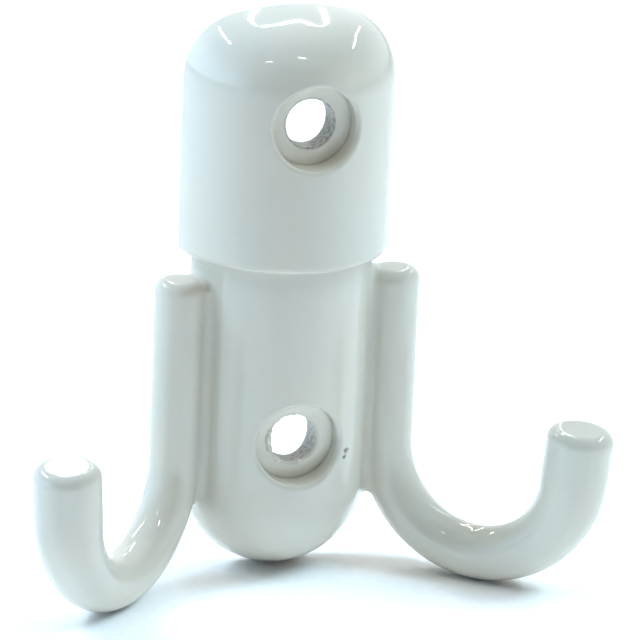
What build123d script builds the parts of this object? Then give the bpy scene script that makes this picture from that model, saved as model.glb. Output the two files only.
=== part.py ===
from build123d import *

import os
from math import asin, cos, degrees, radians, sin, sqrt

# A double coat hook, cast in one piece. Sizes are in millimetres and degrees.
# +Z is up and +Y goes into the wall. The wall plane is Y = 0, and the origin lies on it,
# midway between the two screw holes. The hook is the same on both sides of X = 0.

# Half-round body: a wide upper part with a domed crown steps down to a narrower lower part
UPPER_RADIUS = 13.0
CROWN_Z = 32.2
DOME_RADIUS = 30.0
SHOULDER_ROUND = 7.7
STEP_Z = 2.2
STEP_RIM_ROUND = 1.0
STEP_LEDGE = 0.7
FOOT_Z = -38.0
BACK_EDGE_CHAMFER = 0.4

# Cored back: the casting keeps one wall thickness behind its whole front
WALL = 6.1
CORE_SHOULDER_ROUND = 2.3

# Two screw holes with round, flat seats for the screw heads
HOLE_SPACING = 40.0
HOLE_DIAMETER = 6.0
HOLE_EDGE_CHAMFER = 0.3
SEAT_DIAMETER = 10.2
SEAT_DEPTH = 3.35
SEAT_RIM_ROUND = 0.5

# Two hooks of round bar: a stem fused to the side of the lower body, a bend and an upturned tip
BAR_DIAMETER = 6.3
BEND_DIAMETER = 6.6
TIP_DIAMETER = 8.2
STEM_DROP = 2.5
STEM_WALL_GAP = 0.45
FUSE_DEPTH = 0.45
FUSE_ROUND = 0.9
REACH_BEARING = 46.5
BEND_RADIUS = 12.5
BEND_SWEEP = 174.5
SWELL_START = 45.0
TIP_LENGTH = 6.9
END_ROUND = 1.5

# The lower body stands back from the upper one by the step's rounded rim and the ledge inside it
LOWER_RADIUS = UPPER_RADIUS - STEP_RIM_ROUND - STEP_LEDGE


def half_round(inset, shoulder_round):
    """The stepped pill, or its core at an inset from it: half a turn about Z, in front of the wall."""
    upper_radius = UPPER_RADIUS - inset
    lower_radius = LOWER_RADIUS - inset
    dome_radius = DOME_RADIUS - inset
    dome_angle = degrees(asin((upper_radius - shoulder_round) / (dome_radius - shoulder_round)))
    step_z = STEP_Z + inset
    with BuildSketch(Plane.XZ) as profile:
        with BuildLine():
            foot = JernArc((0, FOOT_Z + inset), (1, 0), lower_radius, 90)
            dome = JernArc((0, CROWN_Z - inset), (1, 0), dome_radius, -dome_angle)
            shoulder = JernArc(dome @ 1, dome % 1, shoulder_round, dome_angle - 90)
            Polyline(foot @ 1, (lower_radius, step_z), (upper_radius, step_z), shoulder @ 1)
            Line(dome @ 0, foot @ 0)
        make_face()
    return revolve(profile.sketch, axis=Axis((0, 0, 0), (0, 0, -1)), revolution_arc=180)


def cored_body():
    """The half-round body with a rounded step, broken back edges and a hollow back."""
    body = half_round(0, SHOULDER_ROUND)
    step_rim = body.edges().filter_by_position(Axis.Z, STEP_Z, STEP_Z).sort_by(SortBy.LENGTH)[-1]
    body = body.fillet(STEP_RIM_ROUND, [step_rim])
    wall_side = body.faces().sort_by(Axis.Y)[-1]
    body = body.chamfer(BACK_EDGE_CHAMFER, None, wall_side.edges())
    return body - half_round(WALL, CORE_SHOULDER_ROUND)


def screw_space(hole_z, seat_reach):
    """The space of one screw: its hole, and its seat with a floor seat_reach in front of the wall."""
    hole_radius = HOLE_DIAMETER / 2
    seat_radius = SEAT_DIAMETER / 2
    edge_radius = hole_radius + HOLE_EDGE_CHAMFER
    edge_reach = seat_reach - HOLE_EDGE_CHAMFER
    clear_reach = seat_reach + 2 * SEAT_DEPTH
    lengthwise = Plane(origin=(0, 0, hole_z), x_dir=(1, 0, 0), z_dir=(0, 0, -1))
    hole = [(0, 0), (hole_radius, 0), (hole_radius, edge_reach), (edge_radius, seat_reach)]
    seat = [(seat_radius, seat_reach), (seat_radius, clear_reach), (0, clear_reach)]
    profile = lengthwise * make_face(Polyline(*hole, *seat, close=True))
    return revolve(profile, axis=Axis((0, 0, hole_z), (0, -1, 0)), revolution_arc=360)


def with_screw_hole(casting, hole_z, front_radius):
    """The casting with one screw hole, its seat's rim rounded over into the front."""
    seat_reach = front_radius - SEAT_DEPTH
    space = screw_space(hole_z, seat_reach)
    drilled = casting - space
    cut_edges = new_edges(casting, space, combined=drilled)
    rim = cut_edges.filter_by(lambda edge: edge.center().Y < -seat_reach)
    return drilled.fillet(SEAT_RIM_ROUND, rim)


def straight_run(start, radius, length):
    """A straight run of bar along the normal of its start plane, with a flat end and a rounded edge."""
    lengthwise = Plane(start.origin, x_dir=start.x_dir, z_dir=start.x_dir.cross(start.z_dir))
    with BuildSketch(lengthwise) as profile:
        with BuildLine():
            edge = JernArc((radius, length - END_ROUND), (0, 1), END_ROUND, 90)
            Polyline(edge @ 1, (0, length), (0, 0), (radius, 0), edge @ 0)
        make_face()
    return revolve(profile.sketch, axis=Axis(start.origin, start.z_dir), revolution_arc=360)


def right_hook():
    """The hook on the +X side: its stem, its bend and its upturned tip."""
    reach_bearing = radians(REACH_BEARING)
    reach = Vector(sin(reach_bearing), -cos(reach_bearing), 0)
    across = reach.cross(Vector(0, 0, 1))

    # The stem clears the wall and touches the lower body, into which it is sunk by the fuse depth
    stem_radius = BAR_DIAMETER / 2
    stem_distance = LOWER_RADIUS + stem_radius - FUSE_DEPTH
    stem_y = -STEM_WALL_GAP - stem_radius
    stem_x = sqrt(stem_distance**2 - stem_y**2)

    # The bend's lowest point is level with the foot, so that the casting stands on three points
    bend_z = FOOT_Z + BEND_DIAMETER / 2 + BEND_RADIUS
    bend_start = Vector(stem_x, stem_y, bend_z)
    bend_plane = Plane(bend_start + reach * BEND_RADIUS, x_dir=-reach, z_dir=across)
    even_bend = revolve(
        Plane(bend_start) * Circle(stem_radius),
        axis=Axis(bend_plane.origin, across),
        revolution_arc=SWELL_START,
    )

    # The rest of the bend swells from the stem's size, past its lowest point, to the tip's
    lowest_angle = 90
    swell_sweep = BEND_SWEEP - SWELL_START
    swell_path = bend_plane * CenterArc((0, 0), BEND_RADIUS, SWELL_START, swell_sweep)
    rings = []
    for angle in (SWELL_START, lowest_angle, BEND_SWEEP):
        share = (angle - SWELL_START) / swell_sweep
        rings.append(Plane(swell_path @ share, x_dir=across, z_dir=swell_path % share))
    diameters = (BAR_DIAMETER, BEND_DIAMETER, TIP_DIAMETER)
    sections = [ring * Circle(diameter / 2) for ring, diameter in zip(rings, diameters)]
    swelling_bend = sweep(sections, path=swell_path, multisection=True)

    stem = straight_run(Plane(bend_start), stem_radius, STEP_Z - STEM_DROP - bend_z)
    tip = straight_run(rings[-1], TIP_DIAMETER / 2, TIP_LENGTH)
    return stem + even_bend + swelling_bend + tip


casting = cored_body()
casting = with_screw_hole(casting, HOLE_SPACING / 2, UPPER_RADIUS)
casting = with_screw_hole(casting, -HOLE_SPACING / 2, LOWER_RADIUS)

hook = right_hook()
for side_hook in (hook, mirror(hook, about=Plane.YZ)):
    joined = casting + side_hook
    crease = new_edges(casting, side_hook, combined=joined)
    casting = joined.fillet(FUSE_ROUND, crease)

os.makedirs("parts", exist_ok=True)
export_step(casting, "parts/coat_hook.step")
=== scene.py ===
from math import asin, cos, pi, radians, sin, tan

import bpy
from mathutils import Matrix, Vector


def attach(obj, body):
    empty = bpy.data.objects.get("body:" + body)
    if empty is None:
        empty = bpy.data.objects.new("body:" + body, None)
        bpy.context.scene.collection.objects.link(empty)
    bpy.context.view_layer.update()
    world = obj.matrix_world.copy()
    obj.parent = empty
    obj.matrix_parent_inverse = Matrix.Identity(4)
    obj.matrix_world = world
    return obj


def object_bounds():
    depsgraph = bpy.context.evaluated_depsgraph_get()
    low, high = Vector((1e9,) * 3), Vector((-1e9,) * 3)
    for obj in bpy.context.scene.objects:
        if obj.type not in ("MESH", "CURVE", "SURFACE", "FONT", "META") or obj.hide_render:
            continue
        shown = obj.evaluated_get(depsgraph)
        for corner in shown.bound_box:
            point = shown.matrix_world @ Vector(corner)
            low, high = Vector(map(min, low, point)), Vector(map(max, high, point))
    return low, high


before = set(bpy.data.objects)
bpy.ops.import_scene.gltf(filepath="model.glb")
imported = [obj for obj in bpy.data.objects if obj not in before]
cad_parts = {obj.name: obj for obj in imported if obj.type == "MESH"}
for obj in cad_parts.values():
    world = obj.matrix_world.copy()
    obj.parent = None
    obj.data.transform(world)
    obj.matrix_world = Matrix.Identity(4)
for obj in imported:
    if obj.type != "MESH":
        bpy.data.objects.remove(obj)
cad_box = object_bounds()

# Casting: the whole hook is one piece of die-cast metal, body, stems, bends and tips together.
# It is dipped in glossy off-white enamel, thin and rough in the bores and dull on the back. The floors of
# the seats are painted paler, a painted light that stands in for light reaching into them.

MM = 0.001
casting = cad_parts["coat_hook"]


class Wire:
    """A socket in a node tree. Sums and products of wires and numbers add Math nodes."""

    def __init__(self, tree, socket=None):
        self.tree = tree
        self.socket = socket

    def add(self, kind, settings, sockets, output=0):
        """A new node of this kind: its settings come first, then the values or wires of its sockets."""
        node = self.tree.nodes.new(kind)
        for name, value in settings.items():
            setattr(node, name, value)
        for key, value in sockets.items():
            if isinstance(value, Wire):
                self.tree.links.new(value.socket, node.inputs[key])
            else:
                node.inputs[key].default_value = value
        return Wire(self.tree, node.outputs[output])

    def math(self, operation, first, second):
        return self.add("ShaderNodeMath", {"operation": operation}, {0: first, 1: second})

    def __add__(self, other):
        return self.math("ADD", self, other)

    def __radd__(self, other):
        return self.math("ADD", other, self)

    def __sub__(self, other):
        return self.math("SUBTRACT", self, other)

    def __rsub__(self, other):
        return self.math("SUBTRACT", other, self)

    def __mul__(self, other):
        return self.math("MULTIPLY", self, other)

    def __rmul__(self, other):
        return self.math("MULTIPLY", other, self)

    def __truediv__(self, other):
        return self.math("DIVIDE", self, other)

    def __rtruediv__(self, other):
        return self.math("DIVIDE", other, self)

    def power(self, exponent):
        return self.math("POWER", self, exponent)

    def above(self, other):
        """1 where this wire is greater than the other, else 0."""
        return self.math("GREATER_THAN", self, other)

    def step(self, low, high):
        """0 below low, 1 above high, smooth between; low may be the larger one."""
        settings = {"interpolation_type": "SMOOTHSTEP"}
        return self.add("ShaderNodeMapRange", settings, {"Value": self, "From Min": low, "From Max": high})

    def blend(self, first, second):
        """A colour between two colours, by this wire's value."""
        settings = {"data_type": "RGBA"}
        return self.add("ShaderNodeMix", settings, {"Factor": self, "A": first, "B": second}, "Result")


def noise(wire, place, size, detail=1.0):
    """Cloudy noise from 0 to 1, with lumps of about this size in metres."""
    sockets = {"Vector": place, "Scale": 1.0 / size, "Detail": detail}
    return wire.add("ShaderNodeTexNoise", {"noise_dimensions": "3D"}, sockets, "Fac")


def distance(wire, place, point):
    """How far the surface is from a point."""
    return wire.add("ShaderNodeVectorMath", {"operation": "DISTANCE"}, {0: place, 1: point}, "Value")


# The crown: a flat dome that runs into a round shoulder, and the plane where the front ends
BODY_RADIUS = 13.0 * MM
CROWN_HEIGHT = 32.2 * MM
DOME_RADIUS = 30.0 * MM
SHOULDER_RADIUS = 7.7 * MM
CROWN_START = 26.2 * MM
CROWN_BLEND = 0.8 * MM
FRONT_END = -0.5 * MM
FRONT_BLEND = 0.3 * MM


def crown_normal(wire, place):
    """The mesh's normal, and on the crown that of its dome and shoulder, so that lamp lines run clean."""
    x, y, z = (wire.add("ShaderNodeSeparateXYZ", {}, {"Vector": place}, axis) for axis in "XYZ")
    radius = (x * x + y * y).power(0.5)
    dome_middle = CROWN_HEIGHT - DOME_RADIUS
    ring_radius = BODY_RADIUS - SHOULDER_RADIUS
    middles_apart = DOME_RADIUS - SHOULDER_RADIUS
    dome_edge = asin(ring_radius / middles_apart)
    ring_lift = middles_apart * cos(dome_edge)
    lift = z - dome_middle
    on_shoulder = radius.above(lift * tan(dome_edge))
    share = 1.0 - on_shoulder * ring_radius / radius
    sockets = {"X": x * share, "Y": y * share, "Z": lift - on_shoulder * ring_lift}
    outward = wire.add("ShaderNodeCombineXYZ", {}, sockets, "Vector")
    outward = wire.add("ShaderNodeVectorMath", {"operation": "NORMALIZE"}, {0: outward}, "Vector")
    mesh_normal = wire.add("ShaderNodeTexCoord", {}, {}, "Normal")
    on_crown = z.step(CROWN_START, CROWN_START + CROWN_BLEND) * y.step(FRONT_END, FRONT_END - FRONT_BLEND)
    sockets = {"Factor": on_crown, "A": mesh_normal, "B": outward}
    return wire.add("ShaderNodeMix", {"data_type": "VECTOR"}, sockets, "Result")


# Tones of the enamel: broad clouds, and pinholes that gather in patches
ENAMEL_WARM = (0.705, 0.655, 0.560, 1.0)
ENAMEL_COOL = (0.690, 0.660, 0.580, 1.0)
CLOUD_SIZE = 14 * MM
CLOUD_TONES = (0.35, 0.65)
PINHOLE_GREY = (0.500, 0.490, 0.430, 1.0)
PINHOLE_TINT = 0.35
PINHOLE_SIZE = 0.35 * MM
PINHOLE_EDGE = (0.70, 0.80)
PATCH_SIZE = 5 * MM
PATCH_EDGE = (0.45, 0.65)

# Screw holes: the coat runs thin in the bores, behind their mouths; the seat floors get painted light
HOLE_HEIGHTS = (20.0 * MM, -20.0 * MM)
HOLE_MOUTHS = (-9.7 * MM, -7.8 * MM)
HOLE_RADIUS = 3.0 * MM
THIN_COLOUR = (0.250, 0.245, 0.215, 1.0)
THIN_WHOLE = HOLE_RADIUS + 0.10 * MM
THIN_END = HOLE_RADIUS + 0.30 * MM
THIN_DEPTH = 0.3 * MM
THIN_MOTTLE = 0.45
MOTTLE_SIZE = 0.5 * MM
MOTTLE_EDGE = (0.40, 0.64)
SEAT_RADIUS = 5.1 * MM
# Painted light: the paler colour of the seat floors, in place of the light that reaches into the seats
PAINTED_SEAT_LIGHT = (0.900, 0.845, 0.735, 1.0)
PAINTED_SEAT_LIGHT_FADE = 0.4 * MM
PAINTED_SEAT_LIGHT_WHOLE_DEPTH = 0.5 * MM
PAINTED_SEAT_LIGHT_END_DEPTH = 1.0 * MM

# The back, where the coat is dull, and two ragged chips beside the lower hole, down to the metal
DULL_BLEND = 0.4 * MM
CHIP_PLACES = ((6.38 * MM, -9.32 * MM, -21.45 * MM), (6.10 * MM, -9.50 * MM, -22.26 * MM))
CHIP_RADII = (0.44 * MM, 0.36 * MM)
CHIP_CORE = 0.6
CHIP_METAL = (0.220, 0.220, 0.200, 1.0)
RAG_SIZE = 0.35 * MM
RAG_REACH = 0.8 * MM

# Roughness of the coat, and what its clouds, the bores, the back and the chips add to it
ENAMEL_IOR = 1.6
COAT_ROUGHNESS = 0.045
CLOUD_DULLING = 0.03
BORE_DULLING = 0.35
BACK_DULLING = 0.30
CHIP_DULLING = 0.40

# Relief of the enamel: orange peel, pinholes, rough bores and chips
PEEL_SIZE = 2.2 * MM
PEEL_HEIGHT = 0.003 * MM
PINHOLE_DEPTH = 0.004 * MM
BORE_RELIEF = 0.03 * MM
CHIP_DEPTH = 0.10 * MM


def enamel_material():
    """Glossy enamel: faint clouds, pinholes, orange peel, two chips, thin coat in the bores, painted light
    on the seats.
    """
    material = bpy.data.materials.new("enamel")
    material.use_nodes = True
    tree = material.node_tree
    tree.nodes.clear()
    wire = Wire(tree)
    place = wire.add("ShaderNodeTexCoord", {}, {}, "Object")
    reach = wire.add("ShaderNodeSeparateXYZ", {}, {"Vector": place}, "Y")

    clouds = noise(wire, place, CLOUD_SIZE, detail=2.0)
    patches = noise(wire, place, PATCH_SIZE).step(*PATCH_EDGE)
    pinholes = noise(wire, place, PINHOLE_SIZE).step(*PINHOLE_EDGE) * patches

    bore = 0.0
    painted_seat_light = 0.0
    sockets = {0: place, 1: (1.0, 0.0, 1.0)}
    on_wall = wire.add("ShaderNodeVectorMath", {"operation": "MULTIPLY"}, sockets, "Vector")
    for hole_height, hole_mouth in zip(HOLE_HEIGHTS, HOLE_MOUTHS):
        off_axis = distance(wire, on_wall, (0.0, 0.0, hole_height))
        behind_seat = reach.step(hole_mouth, hole_mouth + THIN_DEPTH)
        bore = bore + behind_seat * off_axis.step(THIN_END, THIN_WHOLE)
        # Painted light: the seat floors in front of each bore are painted paler, as if lit
        before_seat = reach.step(hole_mouth + PAINTED_SEAT_LIGHT_END_DEPTH, hole_mouth + PAINTED_SEAT_LIGHT_WHOLE_DEPTH)
        painted_seat_light = painted_seat_light + before_seat * off_axis.step(SEAT_RADIUS, SEAT_RADIUS - PAINTED_SEAT_LIGHT_FADE)
    mottle = noise(wire, place, MOTTLE_SIZE, detail=3.0)
    thin = bore * (1.0 - THIN_MOTTLE + THIN_MOTTLE * mottle.step(*MOTTLE_EDGE))

    back = reach.step(FRONT_END, FRONT_END + DULL_BLEND)

    chips = 0.0
    ragged = (noise(wire, place, RAG_SIZE, detail=2.0) - 0.5) * RAG_REACH
    for chip_place, chip_radius in zip(CHIP_PLACES, CHIP_RADII):
        from_chip = distance(wire, place, chip_place) + ragged
        chips = chips + from_chip.step(chip_radius, CHIP_CORE * chip_radius)

    colour = clouds.step(*CLOUD_TONES).blend(ENAMEL_WARM, ENAMEL_COOL)
    colour = (pinholes * PINHOLE_TINT).blend(colour, PINHOLE_GREY)
    # Painted light on the seat floors
    colour = painted_seat_light.blend(colour, PAINTED_SEAT_LIGHT)
    colour = thin.blend(colour, THIN_COLOUR)
    colour = chips.blend(colour, CHIP_METAL)

    roughness = COAT_ROUGHNESS + CLOUD_DULLING * clouds + BORE_DULLING * bore
    roughness = roughness + BACK_DULLING * back + CHIP_DULLING * chips

    relief = noise(wire, place, PEEL_SIZE) * PEEL_HEIGHT - pinholes * PINHOLE_DEPTH
    relief = relief + bore * mottle * BORE_RELIEF - chips * CHIP_DEPTH
    sockets = {"Strength": 1.0, "Distance": 1.0, "Height": relief, "Normal": crown_normal(wire, place)}
    bump = wire.add("ShaderNodeBump", {}, sockets, "Normal")

    sockets = {"Base Color": colour, "Roughness": roughness, "Normal": bump, "IOR": ENAMEL_IOR}
    shader = wire.add("ShaderNodeBsdfPrincipled", {}, sockets, "BSDF")
    output = tree.nodes.new("ShaderNodeOutputMaterial")
    tree.links.new(shader.socket, output.inputs["Surface"])
    return material


enamel = enamel_material()
casting.data.materials.clear()
casting.data.materials.append(enamel)

# Enamel lip: round the lower screw hole the wet enamel drew back to the front edge of the bore and set
# there as a thin, lumpy bead, thickest at its lower left. It is the casting's own coat, fused to it.

LIP_HEIGHT = HOLE_HEIGHTS[1]
LIP_REACH = -7.82 * MM
LIP_SIZES = {"Ring Radius": 3.12 * MM, "Bead Radius": 0.46 * MM, "Lump Length": 1.1 * MM, "Seed": 3.0}
LIP_THINNEST = 0.30
LIP_LUMPS = (0.42, 0.68)
LIP_HEAVY_SIDE = (-0.75, -0.66, 0.0)
LIP_HEAVY_SPREAD = (-0.6, 0.9)
LIP_LIGHT_SIDE = 0.45
LIP_RING_POINTS = 240
LIP_PROFILE_POINTS = 12


def lip_tree():
    """A ring of enamel whose thickness swells and thins along it."""
    tree = bpy.data.node_groups.new("enamel_lip", "GeometryNodeTree")
    for name in LIP_SIZES:
        tree.interface.new_socket(name, in_out="INPUT", socket_type="NodeSocketFloat")
    tree.interface.new_socket("Geometry", in_out="OUTPUT", socket_type="NodeSocketGeometry")
    wire = Wire(tree)
    sizes = tree.nodes.new("NodeGroupInput")
    ring_radius, bead_radius, lump_length, seed = (Wire(tree, sizes.outputs[name]) for name in LIP_SIZES)

    place = wire.add("GeometryNodeInputPosition", {}, {}, "Position")
    sockets = {"Vector": place, "W": seed, "Scale": 1.0 / lump_length, "Detail": 1.5}
    lumps = wire.add("ShaderNodeTexNoise", {"noise_dimensions": "4D"}, sockets, "Fac")
    swelling = LIP_THINNEST + (1.0 - LIP_THINNEST) * lumps.step(*LIP_LUMPS)
    sockets = {0: place, 1: LIP_HEAVY_SIDE}
    side = wire.add("ShaderNodeVectorMath", {"operation": "DOT_PRODUCT"}, sockets, "Value")
    heavy = (side / ring_radius).step(*LIP_HEAVY_SPREAD)
    thickness = bead_radius * swelling * (LIP_LIGHT_SIDE + (1.0 - LIP_LIGHT_SIDE) * heavy)

    circle = {"mode": "RADIUS"}
    sockets = {"Resolution": LIP_RING_POINTS, "Radius": ring_radius}
    ring = wire.add("GeometryNodeCurvePrimitiveCircle", circle, sockets, "Curve")
    sockets = {"Resolution": LIP_PROFILE_POINTS, "Radius": 1.0}
    profile = wire.add("GeometryNodeCurvePrimitiveCircle", circle, sockets, "Curve")
    sockets = {"Curve": ring, "Profile Curve": profile, "Scale": thickness}
    bead = wire.add("GeometryNodeCurveToMesh", {}, sockets, "Mesh")
    lip_place = (0.0, LIP_REACH, LIP_HEIGHT)
    sockets = {"Geometry": bead, "Translation": lip_place, "Rotation": (pi / 2, 0.0, 0.0)}
    bead = wire.add("GeometryNodeTransform", {}, sockets, "Geometry")
    bead = wire.add("GeometryNodeSetShadeSmooth", {}, {"Geometry": bead}, "Geometry")
    bead = wire.add("GeometryNodeRealizeInstances", {}, {"Geometry": bead}, "Geometry")
    bead = wire.add("GeometryNodeSetMaterial", {}, {"Geometry": bead, "Material": enamel}, "Geometry")
    output = tree.nodes.new("NodeGroupOutput")
    tree.links.new(bead.socket, output.inputs["Geometry"])
    return tree


def plain_mesh(name, tree, sizes):
    """A new object with the tree's result as its plain mesh."""
    piece = bpy.data.objects.new(name, bpy.data.meshes.new(name))
    bpy.context.scene.collection.objects.link(piece)
    modifier = piece.modifiers.new(name, "NODES")
    modifier.node_group = tree
    for socket in tree.interface.items_tree:
        if socket.in_out == "INPUT":
            modifier[socket.identifier] = sizes[socket.name]
    evaluated = piece.evaluated_get(bpy.context.evaluated_depsgraph_get())
    mesh = bpy.data.meshes.new_from_object(evaluated)
    piece.modifiers.remove(modifier)
    piece.data = mesh
    return piece


lip = plain_mesh("enamel_lip", lip_tree(), LIP_SIZES)
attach(lip, "root")

# Floor: the white sheet of the light tent, on which the hook stands by its foot and both bends.
# It is a plain, matt sheet with a fine grain, laid flat.

FLOOR_SIDE = 3.0
FLOOR_HEIGHT = cad_box[0][2]
SHEET_PALE = (0.91, 0.91, 0.90, 1.0)
SHEET_DEEP = (0.88, 0.88, 0.88, 1.0)
SHEET_GRAIN = 1.5 * MM
SHEET_TONES = (0.3, 0.7)
SHEET_ROUGHNESS = 0.9


def sheet_material():
    """A matt white sheet with a fine grain."""
    material = bpy.data.materials.new("sheet")
    material.use_nodes = True
    tree = material.node_tree
    wire = Wire(tree)
    place = wire.add("ShaderNodeTexCoord", {}, {}, "Object")
    grain = noise(wire, place, SHEET_GRAIN, detail=3.0)
    colour = grain.step(*SHEET_TONES).blend(SHEET_PALE, SHEET_DEEP)
    shader = tree.nodes["Principled BSDF"]
    tree.links.new(colour.socket, shader.inputs["Base Color"])
    shader.inputs["Roughness"].default_value = SHEET_ROUGHNESS
    return material


bpy.ops.mesh.primitive_plane_add(size=FLOOR_SIDE, location=(0.0, 0.0, FLOOR_HEIGHT))
floor = bpy.context.object
floor.name = "floor"
floor.data.materials.append(sheet_material())

# Camera: a long lens, a little to the left of the hook and above it, and slightly rolled.
# Its place and its lens were fitted to the outlines in the photograph.

YAW = radians(18.98)
PITCH = radians(18.09)
ROLL = radians(2.46)
CAMERA_DISTANCE = 640.5 * MM
AIM = Vector((5.55 * MM, 0.0, -7.85 * MM))
FOCAL_PIXELS = 5264.0
IMAGE_PIXELS = 640
SENSOR_WIDTH = 36.0
NEAREST_SEEN = 10 * MM

behind = Vector((-sin(YAW) * cos(PITCH), -cos(YAW) * cos(PITCH), sin(PITCH)))
level_right = Vector((cos(YAW), -sin(YAW), 0.0))
level_up = level_right.cross(-behind)
right = cos(ROLL) * level_right + sin(ROLL) * level_up
upward = -sin(ROLL) * level_right + cos(ROLL) * level_up

lens = bpy.data.cameras.new("camera")
lens.sensor_width = SENSOR_WIDTH
lens.lens = FOCAL_PIXELS / IMAGE_PIXELS * SENSOR_WIDTH
lens.clip_start = NEAREST_SEEN
camera = bpy.data.objects.new("camera", lens)
turn = Matrix((right, upward, behind)).transposed().to_4x4()
camera.matrix_world = Matrix.Translation(AIM + CAMERA_DISTANCE * behind) @ turn
bpy.context.scene.collection.objects.link(camera)
bpy.context.scene.camera = camera

# Light tent: its white cloth stands behind and beside the hook, and its open mouth, at the camera, is dark.
# Lamp strips under its ceiling show as lines on the enamel. Soft lamps that give no glint fill it, and one
# of them lights the sheet alone.

tent_back = Vector((sin(YAW), cos(YAW), 0.0))
tent_right = level_right
tent_up = Vector((0.0, 0.0, 1.0))


def flat_lamp(name, middle, along, width, colour, radiance):
    """A flat lamp that is turned to the hook, by its middle, its length as a vector and its width."""
    lamp = bpy.data.lights.new(name, "AREA")
    lamp.shape = "RECTANGLE"
    lamp.size = along.length
    lamp.size_y = width
    lamp.color = colour
    lamp.energy = radiance * pi * lamp.size * lamp.size_y
    holder = bpy.data.objects.new(name, lamp)
    x_axis = along.normalized()
    z_axis = (middle - middle.dot(x_axis) * x_axis).normalized()
    turned = Matrix((x_axis, z_axis.cross(x_axis), z_axis)).transposed().to_4x4()
    holder.matrix_world = Matrix.Translation(middle) @ turned
    bpy.context.scene.collection.objects.link(holder)
    return holder


# Strips: radiance, then where each starts and ends, by slopes from the hook to the tent's right and back
CEILING = 0.33
STRIP_WIDTH = 0.010
STRIP_COLOUR = (0.97, 1.0, 1.0)
STRIPS = {
    "inner_left_strip": (15.0, (-0.245, 0.75), (-0.245, 2.6)),
    "inner_right_strip": (15.0, (0.215, 0.95), (0.215, 3.2)),
    "arch_left_strip": (40.0, (-0.20, 0.68), (-0.09, 0.95)),
    "arch_top_strip": (40.0, (-0.09, 0.95), (0.05, 1.20)),
    "arch_right_strip": (40.0, (0.05, 1.20), (0.20, 0.97)),
    "outer_left_strip": (40.0, (-0.83, 0.15), (-0.83, 1.15)),
    "outer_right_far_strip": (20.0, (0.80, 1.80), (0.78, 0.95)),
    "outer_right_near_strip": (20.0, (0.78, 0.95), (1.00, 0.35)),
    "front_left_strip": (20.0, (-0.41, -0.757), (-0.27, -0.745)),
    "front_right_strip": (40.0, (0.19, -0.545), (0.31, -0.525)),
}


def ceiling_place(slopes):
    """A place on the ceiling, by its slopes from the hook to the tent's right and back."""
    return CEILING * (tent_right * slopes[0] + tent_back * slopes[1] + tent_up)


for name, (radiance, start_slopes, end_slopes) in STRIPS.items():
    start = ceiling_place(start_slopes)
    end = ceiling_place(end_slopes)
    flat_lamp(name, (start + end) / 2, end - start, STRIP_WIDTH, STRIP_COLOUR, radiance)

# Soft lamps: bearing from the tent's back, height in degrees, distance, side, radiance and colour
SOFT_LAMPS = {
    "left_lamp": (270.0, 45.0, 0.25, 0.13, 8.8, (0.57, 0.77, 1.0)),
    "right_lamp": (90.0, 45.0, 0.25, 0.13, 7.4, (0.60, 0.84, 1.0)),
    "front_lamp": (235.0, 45.0, 0.25, 0.13, 0.6, (1.0, 0.90, 0.60)),
    "top_lamp": (180.0, 72.0, 0.30, 0.16, 1.2, (1.0, 0.92, 0.76)),
    "sheet_lamp": (0.0, 89.0, 0.60, 0.35, 1.4, (1.0, 0.97, 0.92)),
}

soft_lamps = {}
for name, (bearing, height, far, side, radiance, colour) in SOFT_LAMPS.items():
    level = cos(radians(bearing)) * tent_back + sin(radians(bearing)) * tent_right
    middle = far * (cos(radians(height)) * level + sin(radians(height)) * tent_up)
    soft_lamps[name] = flat_lamp(name, middle, side * level.cross(tent_up), side, colour, radiance)
    soft_lamps[name].visible_glossy = False

sheet_only = bpy.data.collections.new("sheet_only")
sheet_only.objects.link(floor)
soft_lamps["sheet_lamp"].light_linking.receiver_collection = sheet_only

# Cloth: its radiance on each side, and how each side fades into the dark, by the cosine to its middle
MOUTH_DARK = (0.03, 0.03, 0.03, 1.0)
BACK_CLOTH = (1.00, 1.06, 1.08, 1.0)
LEFT_CLOTH = (1.10, 1.70, 2.20, 1.0)
RIGHT_CLOTH = (0.80, 0.80, 0.80, 1.0)
TOP_FADE = (0.80, 0.10)
BACK_FADE = (0.2, 0.6)
SIDE_FADE = (0.45, 0.95)

world = bpy.data.worlds.new("tent")
world.use_nodes = True
bpy.context.scene.world = world
tent = Wire(world.node_tree)
view = tent.add("ShaderNodeTexCoord", {}, {}, "Generated")


def facing(direction):
    """How far a view into the tent points this way, from -1 to 1."""
    sockets = {0: view, 1: tuple(direction)}
    return tent.add("ShaderNodeVectorMath", {"operation": "DOT_PRODUCT"}, sockets, "Value")


low = facing(tent_up).step(*TOP_FADE)
cloth = (low * facing(tent_back).step(*BACK_FADE)).blend(MOUTH_DARK, BACK_CLOTH)
cloth = (low * facing(-tent_right).step(*SIDE_FADE)).blend(cloth, LEFT_CLOTH)
cloth = (low * facing(tent_right).step(*SIDE_FADE)).blend(cloth, RIGHT_CLOTH)
background = world.node_tree.nodes["Background"]
world.node_tree.links.new(cloth.socket, background.inputs["Color"])
background.inputs["Strength"].default_value = 1.0

bpy.context.scene.view_settings.view_transform = "Standard"
